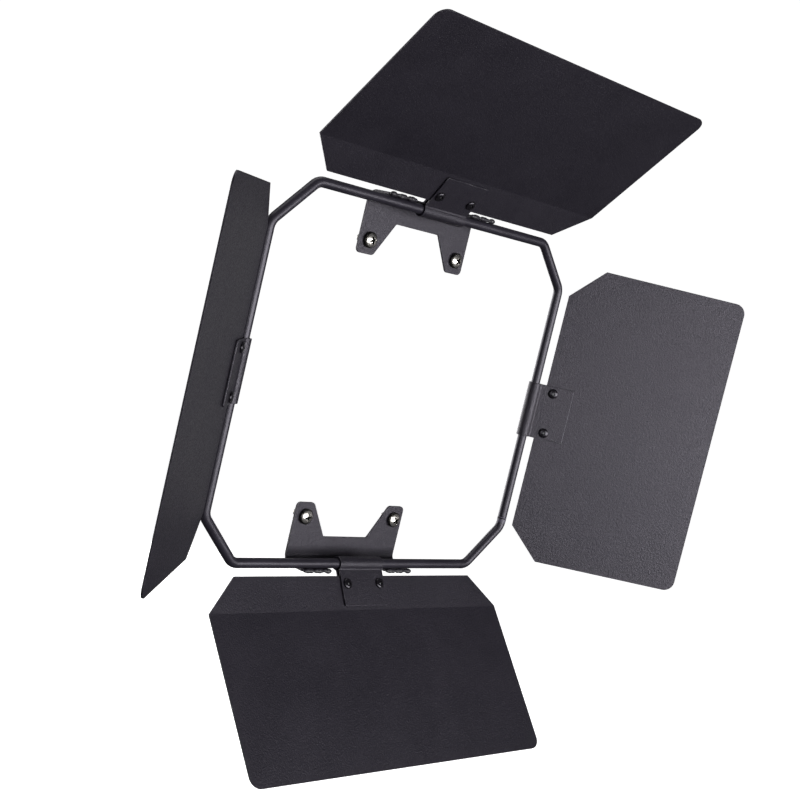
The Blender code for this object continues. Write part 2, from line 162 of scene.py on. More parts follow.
class LeafSizes(bpy.types.PropertyGroup):
    """Flat leaves with 45 degree cuts at the hinge end and rounded far corners."""

    sheet: length_setting("Sheet", "Thickness of the leaves' sheet", 0.001)
    start: length_setting("Start", "From the rod's centre to a leaf's hinge edge", 0.0078)
    reach: length_setting("Reach", "From the rod's centre to a leaf's far edge", 0.125)
    cut: length_setting("Cut", "Leg of the 45 degree cuts at the hinge end", 0.021)
    taper: length_setting("Taper", "How far each side leans in towards the far edge", 0.0005)
    corner_radius: length_setting("Corner radius", "Radius of the far corners", 0.007)
    wide_half: length_setting("Wide half width", "Half the width of the top and bottom leaves", 0.12)
    narrow_half: length_setting("Narrow half width", "Half the width of the left and right leaves", 0.1)
    fold_radius: length_setting("Fold radius", "Middle radius of the wide leaves' shallow fold", 0.004)
    fold_angle: angle_setting("Fold angle", "How far the wide leaves are folded forward", 8.5)
    top_open: angle_setting("Top open", "How far the top leaf is swung forward", 35.9)
    bottom_open: angle_setting("Bottom open", "How far the bottom leaf is swung forward", 32.9)
    left_open: angle_setting("Left open", "How far the left leaf is swung forward", 41.6)
    right_open: angle_setting("Right open", "How far the right leaf is swung forward", 42.8)


class StrapSizes(bpy.types.PropertyGroup):
    """Hinge strap folded round the rod, with a flap on each side of the leaf."""

    sheet: length_setting("Sheet", "Thickness of the straps' sheet", 0.001)
    half_width: length_setting("Half width", "Half the strap's width along the rod", 0.018)
    front_reach: length_setting("Front reach", "From the rod's centre to the front flap's end", 0.0265)
    rear_reach: length_setting("Rear reach", "From the rod's centre to the rear flap's end", 0.02)
    throat_radius: length_setting(
        "Throat radius", "Radius of the curve where a flap leaves the rod", 0.002)
    corner_radius: length_setting("Corner radius", "Radius of the flaps' corners", 0.0012)


class RivetSizes(bpy.types.PropertyGroup):
    """Blind rivets through strap and leaf."""

    offset: length_setting("Offset", "Either side of the strap's middle", 0.0135)
    distance: length_setting("Distance", "From the rod's centre", 0.013)
    radius: length_setting("Radius", "Radius of the rivet's body", 0.0019)
    bore: length_setting("Bore", "Radius of the rivet's bore", 0.0011)
    head_radius: length_setting("Head radius", "Radius of the domed head", 0.00325)
    head_height: length_setting("Head height", "Height of the domed head", 0.0013)
    bulb_radius: length_setting("Bulb radius", "Radius of the pulled bulb behind the sheets", 0.0027)
    bulb_length: length_setting("Bulb length", "Length of the pulled bulb", 0.0022)
    pin_radius: length_setting("Pin radius", "Radius of the pulling pin left in the bore", 0.0008)
    pin_head: length_setting("Pin head radius", "Radius of the pulling pin's head", 0.0016)


class FinishLook(bpy.types.PropertyGroup):
    """Colours and roughness of the finishes."""

    coat_dark: colour_setting("Coat, dark", "Powder coat between its pebbles", (0.0050, 0.0042, 0.0070))
    coat_light: colour_setting("Coat, light", "Powder coat on its pebbles", (0.0125, 0.0108, 0.0160))
    coat_worn: colour_setting(
        "Coat, worn", "Powder coat rubbed thin along an edge", (0.110, 0.104, 0.116))
    coat_roughness: share_setting("Coat roughness", "Middle roughness of the powder coat", 0.44)
    rod: colour_setting("Rod paint", "Satin paint on the ring", (0.0075, 0.0066, 0.0100))
    rod_roughness: share_setting("Rod roughness", "Middle roughness of the ring's paint", 0.41)
    nickel: colour_setting("Nickel", "Plating of the bracket screws", (0.80, 0.77, 0.72))
    rivet: colour_setting("Rivet black", "Gloss black of the rivet heads", (0.0050, 0.0045, 0.0060))
    pin: colour_setting("Pin steel", "Dark steel of the pulling pins", (0.17, 0.17, 0.18))


class StageLook(bpy.types.PropertyGroup):
    """Camera, floor and lights."""

    lens: FloatProperty(
        name="Lens", description="Focal length of the camera in millimetres on a 36 mm sensor",
        default=61.8)
    roll: angle_setting("Roll", "How far the camera leans about its line of sight", 13.388)
    floor_drop: length_setting("Floor drop", "From the object's lowest point down to the floor", 0.35)
    key_power: power_setting("Key power", "Power of the wide soft box in front of the lamp", 27.6)
    side_power: power_setting("Side power", "Power of the small soft box beside the camera", 2.6)
    fill_power: power_setting("Fill power", "Power of the fill from above", 0.2)
    rear_power: power_setting("Rear power", "Power of the fill from behind the right leaf", 0.5)
    back_power: power_setting("Back power", "Power of the soft box that shows the leaves' backs", 34.0)
    top_power: power_setting("Top power", "Power of the soft box above the brackets", 8.0)
    ambient: FloatProperty(
        name="Ambient", description="Strength of the even light from all round",
        default=0.055)


class BarnDoorSettings(bpy.types.PropertyGroup):
    """All settings of the barn door."""

    ring: PointerProperty(type=RingSizes, name="Ring", description="Sizes of the ring")
    bracket: PointerProperty(type=BracketSizes, name="Bracket", description="Sizes of the brackets")
    screw: PointerProperty(type=ScrewSizes, name="Screw", description="Sizes of the bracket screws")
    leaf: PointerProperty(type=LeafSizes, name="Leaf", description="Sizes of the leaves")
    strap: PointerProperty(type=StrapSizes, name="Strap", description="Sizes of the hinge straps")
    rivet: PointerProperty(type=RivetSizes, name="Rivet", description="Sizes of the rivets")
    look: PointerProperty(type=FinishLook, name="Finishes", description="Colours and roughness")
    stage: PointerProperty(type=StageLook, name="Stage", description="Camera, floor and lights")


# ---------------------------------------------------------------- modelling helpers

def clear_selection():
    """Leave edit mode and deselect everything."""
    if bpy.context.mode != "OBJECT":
        bpy.ops.object.mode_set(mode="OBJECT")
    bpy.ops.object.select_all(action="DESELECT")


def take(piece):
    """Select one piece alone and make it the active one."""
    clear_selection()
    piece.select_set(True)
    bpy.context.view_layer.objects.active = piece


def settle(piece):
    """Put the piece's place, turn and size into its mesh, so that its object sits at the origin."""
    take(piece)
    bpy.ops.object.transform_apply(location=True, rotation=True, scale=True)


def started(name):
    """Name the primitive just added, settle it and open it for editing with all selected."""
    piece = bpy.context.active_object
    piece.name = name
    piece.data.name = name
    settle(piece)
    bpy.ops.object.mode_set(mode="EDIT")
    bpy.ops.mesh.select_all(action="SELECT")
    return piece


def start_plate(name, half_width, first, last, height=0.0):
    """Start a sheet piece: a plane across X between two distances along Y."""
    clear_selection()
    bpy.ops.mesh.primitive_plane_add(size=1, location=(0, (first + last) / 2, height))
    bpy.context.active_object.scale = (2 * half_width, last - first, 1)
    return started(name)


def pick(kind, wanted):
    """Select the vertices, edges or faces whose middle is wanted, and nothing else."""
    bpy.ops.mesh.select_mode(type=kind)
    bpy.ops.mesh.select_all(action="DESELECT")
    data = bpy.context.edit_object.data
    mesh = bmesh.from_edit_mesh(data)
    if kind == "VERT":
        chosen = [vert for vert in mesh.verts if wanted(vert.co)]
    elif kind == "EDGE":
        chosen = [edge for edge in mesh.edges if wanted((edge.verts[0].co + edge.verts[1].co) / 2)]
    else:
        chosen = [face for face in mesh.faces if wanted(face.calc_center_median())]
    if not chosen:
        raise RuntimeError(f"nothing to select on {bpy.context.edit_object.name}")
    for item in chosen:
        item.select_set(True)
    bmesh.update_edit_mesh(data)


def near(value, goal):
    """Whether two lengths are the same to within ten micrometres."""
    return abs(value - goal) < 1e-5


def extrude(*way):
    """Extrude what is selected along a vector."""
    bpy.ops.mesh.extrude_region_move(TRANSFORM_OT_translate={"value": way})


def bend(angle, centre, steps, axis=(1, 0, 0)):
    """Sweep the selected edges round a centre; a positive angle turns them from Y towards Z."""
    bpy.ops.mesh.spin(steps=steps, angle=-angle, center=centre, axis=axis)


def slice_across(axis, place):
    """Cut the whole mesh in two along a plane square to an axis, and keep both halves."""
    bpy.ops.mesh.select_all(action="SELECT")
    point = [0.0, 0.0, 0.0]
    normal = [0.0, 0.0, 0.0]
    point["XYZ".index(axis)] = place
    normal["XYZ".index(axis)] = 1.0
    bpy.ops.mesh.bisect(plane_co=point, plane_no=normal)


def join_flat_faces():
    """Dissolve the edges that only divide a flat area."""
    bpy.ops.mesh.select_all(action="SELECT")
    bpy.ops.mesh.dissolve_limited(angle_limit=radians(1))


def round_corners(radius, inner_angle, wanted, segments=6):
    """Round a sheet's corners of one inner angle to a radius."""
    pick("VERT", wanted)
    bpy.ops.mesh.bevel(
        affect="VERTICES", offset_type="OFFSET", offset=radius / tan(inner_angle / 2),
        segments=segments, profile=0.5)


def close_up():
    """Merge doubles and turn every face of the mesh in edit mode outwards."""
    bpy.ops.mesh.select_all(action="SELECT")
    bpy.ops.mesh.remove_doubles(threshold=1e-6)
    bpy.ops.mesh.normals_make_consistent(inside=False)
    bpy.ops.object.mode_set(mode="OBJECT")


def modify(piece, kind, **values):
    """Add a modifier with its values and apply it."""
    take(piece)
    modifier = piece.modifiers.new(kind.title(), kind)
    for name, value in values.items():
        setattr(modifier, name, value)
    bpy.ops.object.modifier_apply(modifier=modifier.name)


def cut_with(piece, cutter):
    """Cut a shape out of a piece and throw the shape away."""
    modify(
        piece, "BOOLEAN", operation="DIFFERENCE", object=cutter, solver="EXACT",
        material_mode="TRANSFER")
    bpy.data.objects.remove(cutter, do_unlink=True)


def drill(piece, radius, x, y):
    """Drill a hole along Z through a sheet piece."""
    clear_selection()
    bpy.ops.mesh.primitive_cylinder_add(vertices=32, radius=radius, depth=0.012, location=(x, y, 0))
    cutter = bpy.context.active_object
    settle(cutter)
    cut_with(piece, cutter)


def smooth_by_angle(piece, angle=radians(28)):
    """Shade a piece smooth except at its sharp edges."""
    take(piece)
    bpy.ops.object.shade_smooth_by_angle(angle=angle)


def thicken(piece, thickness):
    """Give the sheet in edit mode its thickness, half on each side."""
    close_up()
    modify(piece, "SOLIDIFY", thickness=thickness, offset=0.0, use_even_offset=True)


def break_edges(piece, width):
    """Round a sheet piece's cut edges a little; the new faces take the piece's second material."""
    modify(
        piece, "BEVEL", width=width, segments=2, limit_method="ANGLE", angle_limit=radians(50),
        material=1, harden_normals=False)
    smooth_by_angle(piece, radians(60))
    modify(piece, "WEIGHTED_NORMAL", weight=60, keep_sharp=True)


def turned(name, profile, sides, closed=False):
    """Turn a piece about Z: a circle extruded and resized through (radius, height) points.

    A profile that starts or ends on the axis is capped there, and a closed one makes a tube.
    """
    clear_selection()
    tiny = 1e-7
    radius, height = profile[0]
    bpy.ops.mesh.primitive_circle_add(vertices=sides, radius=max(radius, tiny), location=(0, 0, height))
    piece = started(name)
    stations = list(profile[1:])
    if closed:
        stations.append(profile[0])
    for next_radius, next_height in stations:
        extrude(0, 0, next_height - height)
        ratio = max(next_radius, tiny) / max(radius, tiny)
        bpy.ops.transform.resize(value=(ratio, ratio, 1), center_override=(0, 0, next_height))
        radius, height = next_radius, next_height
    bpy.ops.mesh.select_all(action="SELECT")
    bpy.ops.mesh.remove_doubles(threshold=2e-6)
    bpy.ops.mesh.select_all(action="DESELECT")
    bpy.ops.mesh.select_mode(type="EDGE")
    bpy.ops.mesh.select_non_manifold()
    data = bmesh.from_edit_mesh(piece.data)
    if any(edge.select for edge in data.edges):
        bpy.ops.mesh.fill()
    close_up()
    return piece


def copy_of(piece, name, place):
    """A copy of a piece with a mesh of its own, moved by a matrix."""
    take(piece)
    bpy.ops.object.duplicate(linked=False)
    twin = bpy.context.active_object
    twin.name = name
    twin.data.name = name
    twin.matrix_world = place
    settle(twin)
    return twin


def drop(*pieces):
    """Throw away pieces that were only patterns for copies."""
    for piece in pieces:
        bpy.data.objects.remove(piece, do_unlink=True)


def coat(piece, *finishes):
    """Give a piece its materials, in the order of its material slots."""
    piece.data.materials.clear()
    for finish in finishes:
        piece.data.materials.append(finish)


def refinish(piece, slot, wanted):
    """Give the faces whose middle is wanted the finish in one of the piece's later slots."""
    for face in piece.data.polygons:
        if wanted(face.center):
            face.material_index = slot


def hand_over(piece, body, slot, *nodes):
    """Hang a finished piece on its body in place of the frame's nodes."""
    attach(piece, body)
    if nodes:
        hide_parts(*nodes)


def settings():
    """The scene's settings for the barn door."""
    return bpy.context.scene.barn_door


def hinge_place(side):
    """Matrix from a hinge's own frame to the object's, with its leaf swung forward."""
    joint = HINGES[side]
    middle = Vector(joint["pos_m"])
    along = Vector(joint["axis"])
    outward = Vector((middle.x, 0.0, middle.z)).normalized()
    turn = Matrix((along, outward, along.cross(outward))).transposed().to_4x4()
    opened = getattr(settings().leaf, f"{side}_open")
    return Matrix.Translation(middle) @ turn @ Matrix.Rotation(opened, 4, "X")


# ---------------------------------------------------------------- finishes

class Wire:
    """An output of a finish's node; arithmetic on it adds Math nodes."""

    def __init__(self, finish, socket):
        self.finish = finish
        self.socket = socket

    def maths(self, operation, *values):
        return self.finish.node("Math", {"operation": operation}, dict(enumerate(values)))

    def __add__(self, other):
        return self.maths("ADD", self, other)

    def __radd__(self, other):
        return self.maths("ADD", other, self)

    def __sub__(self, other):
        return self.maths("SUBTRACT", self, other)

    def __rsub__(self, other):
        return self.maths("SUBTRACT", other, self)

    def __mul__(self, other):
        return self.maths("MULTIPLY", self, other)

    def __rmul__(self, other):
        return self.maths("MULTIPLY", other, self)

    def __truediv__(self, other):
        return self.maths("DIVIDE", self, other)

    def __rtruediv__(self, other):
        return self.maths("DIVIDE", other, self)

    def kept(self):
        """The value held between 0 and 1."""
        return self.maths("MINIMUM", self.maths("MAXIMUM", self, 0.0), 1.0)

    def beyond(self, level, width):
        """0 below a level, rising to 1 over a width above it."""
        return ((self - level) / width).kept()


class Finish:
    """A procedural material, built round its own shader on the piece's own coordinates."""

    def __init__(self, name, metallic=0.0, specular=0.5, tint=(1.0, 1.0, 1.0)):
        self.material = bpy.data.materials.new(name)
        self.material.use_nodes = True
        self.tree = self.material.node_tree
        self.shader = self.tree.nodes["Principled BSDF"]
        self.shader.inputs["Metallic"].default_value = metallic
        self.shader.inputs["Specular IOR Level"].default_value = specular
        self.shader.inputs["Specular Tint"].default_value = (*tint, 1.0)
        self.place = self.node("TexCoord", output="Object")

    def node(self, kind, node_settings=None, values=None, output=0):
        """Add a node of a kind: its settings first, then its sockets' values or links."""
        made = self.tree.nodes.new(f"ShaderNode{kind}")
        for name, setting in (node_settings or {}).items():
            setattr(made, name, setting)
        for key, value in (values or {}).items():
            self.feed(made.inputs[key], value)
        return Wire(self, made.outputs[output])

    def feed(self, socket, value):
        """Link a wire to a socket, or set the socket's own value."""
        if isinstance(value, Wire):
            self.tree.links.new(value.socket, socket)
        else:
            socket.default_value = value

    def noise(self, size, detail=2.0, roughness=0.5, stretch=None):
        """Noise whose features are about a size in metres, stretched along an axis if asked."""
        place = self.place
        if stretch:
            place = self.node("Mapping", values={"Vector": place, "Scale": stretch})
        values = {"Vector": place, "Scale": 1.0 / size, "Detail": detail, "Roughness": roughness}
        return self.node("TexNoise", values=values)

    def cells(self, size):
        """Distance to the nearest of scattered points that lie about a size apart."""
        return self.node("TexVoronoi", values={"Vector": self.place, "Scale": 1.0 / size})

    def shades(self, amount, first, second):
        """Colour between two, by an amount."""
        values = {0: amount, 6: self.opaque(first), 7: self.opaque(second)}
        return self.node("Mix", {"data_type": "RGBA"}, values, output=2)

    @staticmethod
    def opaque(colour):
        return colour if isinstance(colour, Wire) else (*colour, 1.0)

    def surface(self, colour, roughness, height, depth, strength):
        """Feed the shader its colour, roughness and bumps of a depth in metres."""
        self.feed(self.shader.inputs["Base Color"], colour)
        self.feed(self.shader.inputs["Roughness"], roughness)
        values = {"Strength": strength, "Distance": depth, "Height": height}
        self.feed(self.shader.inputs["Normal"], self.node("Bump", values=values, output="Normal"))
        return self.material


def stored(name, make):
    """The finish of this name, made the first time it is asked for."""
    return bpy.data.materials.get(name) or make(name)


def make_powder_coat(name):
    """Matt black powder coat: fine pebbles, faint clouds and a few specks of dust."""
    look = settings().look
    finish = Finish(name, tint=COAT_SHEEN)
    pebbles = finish.noise(0.00105, detail=3.0, roughness=0.65)
    grit = finish.noise(0.00030, detail=1.0)
    clouds = finish.noise(0.030, detail=3.0, roughness=0.6)
    patches = finish.noise(0.0045, detail=2.0)
    tone = (pebbles.beyond(0.30, 0.40) * 0.55 + clouds.beyond(0.30, 0.40) * 0.25 + patches * 0.25).kept()
    colour = finish.shades(tone, look.coat_dark, look.coat_light)
    specks = (1.0 - finish.cells(0.0085).beyond(0.015, 0.018)) * patches.beyond(0.54, 0.05)
    colour = finish.shades(specks * 0.7, colour, look.coat_worn)
    roughness = look.coat_roughness - 0.16 + clouds * 0.10 + (1.0 - pebbles.beyond(0.30, 0.40)) * 0.22
    height = pebbles * 0.7 + grit * 0.3
    return finish.surface(colour, roughness, height, depth=0.00040, strength=0.75)


def make_worn_coat(name):
    """Powder coat on a cut edge, where it is thin and rubbed in places."""
    look = settings().look
    finish = Finish(name, tint=COAT_SHEEN)
    pebbles = finish.noise(0.00075, detail=1.5)
    rubs = finish.noise(0.009, detail=4.0, roughness=0.65)
    colour = finish.shades(rubs.beyond(0.50, 0.16) * 0.7, look.coat_light, look.coat_worn)
    roughness = look.coat_roughness - 0.04 - rubs.beyond(0.50, 0.16) * 0.10
    return finish.surface(colour, roughness, pebbles, depth=0.0001, strength=0.4)


def make_satin_rod(name):
    """Satin black paint over drawn rod: fine grain, faint bands round it and small rubs."""
    look = settings().look
    finish = Finish(name, tint=COAT_SHEEN)
    grain = finish.noise(0.00045, detail=2.0)
    ripples = finish.noise(0.0035, detail=2.0)
    bands = finish.noise(0.014, detail=2.0)
    rubs = finish.noise(0.0022, detail=5.0, roughness=0.7)
    lighter = [2.1 * channel for channel in look.rod]
    colour = finish.shades((grain * 0.5 + bands.beyond(0.35, 0.40) * 0.5).kept(), look.rod, lighter)
    colour = finish.shades(rubs.beyond(0.70, 0.06) * 0.25, colour, look.coat_worn)
    roughness = look.rod_roughness - 0.08 + bands * 0.10 + grain * 0.06
    return finish.surface(colour, roughness, grain * 0.5 + ripples * 0.5, depth=0.00010, strength=0.35)


def make_dressed_weld(name):
    """Weld ground flush and painted thin, a little lighter than the rod beside it."""
    look = settings().look
    finish = Finish(name)
    scratches = finish.noise(0.0004, detail=3.0, stretch=(1.0, 1.0, 0.35))
    patches = finish.noise(0.0025, detail=3.0)
    dark = [4.0 * channel for channel in look.rod]
    light = [12.0 * channel for channel in look.rod]
    colour = finish.shades((scratches * 0.5 + patches * 0.6).kept(), dark, light)
    return finish.surface(colour, 0.34 + scratches * 0.2, scratches, depth=0.00012, strength=0.5)


def make_weld_bead(name):
    """Coated weld bead: lumpy, with spatter and dark hollows."""
    look = settings().look
    finish = Finish(name)
    lumps = finish.noise(0.0007, detail=3.0)
    pits = finish.cells(0.0012)
    lighter = [1.4 * channel for channel in look.coat_light]
    colour = finish.shades(lumps.beyond(0.32, 0.36), look.coat_dark, lighter)
    height = lumps * 0.7 + pits.beyond(0.05, 0.35) * 0.3
    return finish.surface(colour, 0.36 + lumps * 0.22, height, depth=0.00025, strength=0.6)


def make_nickel(name):
    """Bright nickel plating with fine turning marks and a few dull patches."""
    look = settings().look
    finish = Finish(name, metallic=1.0)
    marks = finish.noise(0.00030, detail=2.0, stretch=(1.0, 4.0, 1.0))
    dull = finish.noise(0.0018, detail=4.0, roughness=0.6)
    grime = [0.42 * channel for channel in look.nickel]
    colour = finish.shades(dull.beyond(0.52, 0.22) * 0.6, look.nickel, grime)
    roughness = 0.19 + dull * 0.14 + marks * 0.04
    return finish.surface(colour, roughness, marks * 0.4 + dull * 0.6, depth=0.00003, strength=0.30)


def make_nickel_painted_dark_rim(name):
    """Nickel painted dark round the edge of a screw's head: painted shade and a painted dark reflection of
    what lies round the head.
    """
    look = settings().look
    finish = Finish(name, metallic=1.0)
    blotches = finish.noise(0.0009, detail=3.0)
    dark = [0.04 * channel for channel in look.nickel]
    lighter = [0.20 * channel for channel in look.nickel]
    colour = finish.shades(blotches.beyond(0.40, 0.35), dark, lighter)
    return finish.surface(colour, 0.26 + blotches * 0.2, blotches, depth=0.00003, strength=0.3)


def make_recess_shade_and_seam_dark(name):
    """Near-black paint: painted shade deep in a screw's recess, and the dark of the ring's open weld line.
    """
    finish = Finish(name, specular=0.2)
    fleck_noise = finish.noise(0.0005, detail=3.0)
    colour = finish.shades(fleck_noise.beyond(0.40, 0.30), (0.003, 0.003, 0.003), (0.014, 0.012, 0.010))
    return finish.surface(colour, 0.38 + fleck_noise * 0.25, fleck_noise, depth=0.00004, strength=0.4)


def make_rivet_black(name):
    """Gloss black paint on the rivets, chipped a little by the setting tool."""
    look = settings().look
    finish = Finish(name, specular=0.40, tint=COAT_SHEEN)
    waves = finish.noise(0.0010, detail=2.0)
    chips = finish.noise(0.0006, detail=4.0, roughness=0.7)
    worn = [0.4 * channel for channel in look.coat_worn]
    colour = finish.shades(chips.beyond(0.66, 0.06) * 0.5, look.rivet, worn)
    roughness = 0.17 + waves * 0.10 + chips.beyond(0.55, 0.2) * 0.08
    return finish.surface(colour, roughness, waves * 0.7 + chips * 0.3, depth=0.00004, strength=0.3)


def make_pin_steel(name):
    """Dark oiled steel of the snapped pulling pins."""
    look = settings().look
    finish = Finish(name, metallic=1.0)
    tears = finish.noise(0.00022, detail=3.0)
    blotches = finish.noise(0.0011, detail=2.0)
    dark = [0.45 * channel for channel in look.pin]
    colour = finish.shades(blotches.beyond(0.35, 0.3), dark, look.pin)
    return finish.surface(colour, 0.30 + blotches * 0.2, tears, depth=0.00008, strength=0.6)


def sheet_finishes():
    """The coat of a sheet's faces and that of its cut edges."""
    return stored("powder_coat_matt", make_powder_coat), stored("powder_coat_worn_edge", make_worn_coat)


# ---------------------------------------------------------------- ring

def bend_setback(radius):
    """Distance from a 45 degree corner to the start of its bend."""
    return radius * tan(pi / 8)


class BARNDOOR_OT_ring(bpy.types.Operator):
    """Bend the ring from round rod and dress the weld that closes it"""

    bl_idname = "barndoor.ring"
    bl_label = "Rod Ring"

    def execute(self, context):
        self.bend_rod()
        self.dress_weld()
        return {"FINISHED"}

    def bend_rod(self):
        sizes = settings().ring
        rod, leg, radius = sizes.rod_radius, sizes.corner_leg, sizes.bend_radius
        half_width = RING_HIGH.x - rod
        half_height = RING_HIGH.z - rod
        plane = (RING_LOW.y + RING_HIGH.y) / 2
        setback = bend_setback(radius)
        clear_selection()
        place = (0, plane, half_height)
        bpy.ops.mesh.primitive_circle_add(vertices=32, radius=rod, location=place, rotation=(0, pi / 2, 0))
        ring = started("rod_ring")
        top_run = half_width - leg - setback
        side_run = half_height - leg - setback
        slant = leg - 2 * setback * cos(pi / 4)
        down = (0, 1, 0)
        extrude(top_run, 0, 0)
        bend(pi / 4, (top_run, plane, half_height - radius), 10, down)
        extrude(slant, 0, -slant)
        bend(pi / 4, (half_width - radius, plane, side_run), 10, down)
        extrude(0, 0, -side_run)
        close_up()
        modify(ring, "MIRROR", use_axis=(True, False, True), merge_threshold=1e-6)
        bpy.ops.object.mode_set(mode="EDIT")
        close_up()
        smooth_by_angle(ring)
        coat(ring, stored("satin_rod_paint", make_satin_rod))
        hand_over(ring, "frame", "satin_rod", "ring")

    def dress_weld(self):
        """A thin sleeve at the right side's lower end: the weld's open line, then its dressed patch."""
        sizes = settings().ring
        rod = sizes.rod_radius
        proud = 0.00007
        length = 0.0040
        line_start, line_end = 0.0008, 0.0016
        patch_start = 0.0018
        profile = [(0.0, 0.0), (rod - 0.0002, 0.0), (rod + proud, 0.0003), (rod + proud, 0.0007)]
        profile += [(rod + 0.00001, line_start), (rod + 0.00001, line_end), (rod + proud, patch_start)]
        steps = 12
        for step in range(1, steps):
            along = patch_start + (length - patch_start) * step / steps
            ripple = 0.00002 * sin(11.0 * step)
            profile.append((rod + proud * (1.0 - 0.5 * step / steps) + ripple, along))
        profile += [(rod - 0.0002, length), (0.0, length)]
        weld = turned("ring_butt_weld", profile, 32)
        leg = sizes.corner_leg
        setback = bend_setback(sizes.bend_radius)
        side_end = -(RING_HIGH.z - rod - leg - setback)
        start = (RING_HIGH.x - rod, (RING_LOW.y + RING_HIGH.y) / 2, side_end + 0.8 * length)
        coat(weld, stored("dressed_weld", make_dressed_weld), stored("recess_grime", make_recess_shade_and_seam_dark))
        refinish(weld, 1, lambda at: line_start < at.z < line_end)
        weld.matrix_world = Matrix.Translation(start) @ Matrix.Rotation(pi, 4, "X")
        settle(weld)
        smooth_by_angle(weld, radians(50))
        hand_over(weld, "frame", "satin_rod")


# ---------------------------------------------------------------- brackets and their fixings

class BARNDOOR_OT_brackets(bpy.types.Operator):
    """Cut, fold and drill the upper and lower bracket"""

    bl_idname = "barndoor.brackets"
    bl_label = "Brackets"

    def execute(self, context):
        sizes = settings().bracket
        rod = settings().ring.rod_radius
        half_height = RING_HIGH.z - rod
        plane = -(RING_LOW.y + RING_HIGH.y) / 2
        middle = sizes.sheet / 2
        fold = sizes.fold_radius + middle
        lip = half_height + rod + CLEARANCE + middle
        fold_start = lip - fold
        pattern = start_plate("bracket", sizes.half_width, sizes.ear_end, fold_start, middle)
        slice_across("Y", sizes.notch_base)
        slice_across("X", sizes.notch_half)
        slice_across("X", -sizes.notch_half)
        pick("FACE", lambda at: abs(at.x) < sizes.notch_half and at.y < sizes.notch_base)
        bpy.ops.mesh.delete(type="FACE")
        for hand in (-1, 1):
            pick("VERT", lambda at: near(at.x, hand * sizes.notch_half) and near(at.y, sizes.ear_end))
            bpy.ops.transform.translate(value=(hand * (sizes.ear_inner - sizes.notch_half), 0, 0))
        join_flat_faces()
        slice_across("X", sizes.clip_gap)
        slice_across("X", -sizes.clip_gap)
        pick("EDGE", lambda at: near(at.y, fold_start))
        bend(pi / 2, (0, fold_start, middle + fold), 10)
        tab_start = plane + sizes.overhang - sizes.tab_length
        extrude(0, 0, tab_start - middle - fold)
        pick("EDGE", lambda at: near(at.z, tab_start) and abs(at.x) > sizes.clip_gap)
        extrude(0, 0, sizes.tab_length)
        bpy.ops.mesh.select_all(action="SELECT")
        bpy.ops.mesh.remove_doubles(threshold=1e-6)
        join_flat_faces()
        self.round_outline(sizes, tab_start)
        thicken(pattern, sizes.sheet)
        screw = settings().screw
        for hand in (-1, 1):
            drill(pattern, sizes.hole_radius, hand * screw.offset_x, screw.offset_z)
        coat(pattern, *sheet_finishes())
        break_edges(pattern, 0.0002)
        for level, up in LEVELS:
            place = Matrix.Rotation(0 if up > 0 else pi, 4, "Y") @ STAND_UP
            bracket = copy_of(pattern, f"bracket_plate_{level}", place)
            hand_over(bracket, "frame", "powder_coat", f"bracket_{level}")
        drop(pattern)
        return {"FINISHED"}

    def round_outline(self, sizes, tab_start):
        """Round the ears, the notch's base and the lip's tabs."""
        tab_end = tab_start + sizes.tab_length
        slant = pi - atan2(sizes.notch_base - sizes.ear_end, sizes.ear_inner - sizes.notch_half)
        round_corners(
            sizes.ear_radius, pi / 2,
            lambda at: near(at.y, sizes.ear_end) and near(abs(at.x), sizes.half_width))
        round_corners(
            sizes.ear_radius, slant,
            lambda at: near(at.y, sizes.ear_end) and near(abs(at.x), sizes.ear_inner))
        round_corners(
            0.0015, slant,
            lambda at: near(at.y, sizes.notch_base) and near(abs(at.x), sizes.notch_half))
        round_corners(0.001, pi / 2, lambda at: near(at.z, tab_end), 4)
        round_corners(
            0.001, pi / 2,
            lambda at: near(at.z, tab_start) and near(abs(at.x), sizes.clip_gap), 4)


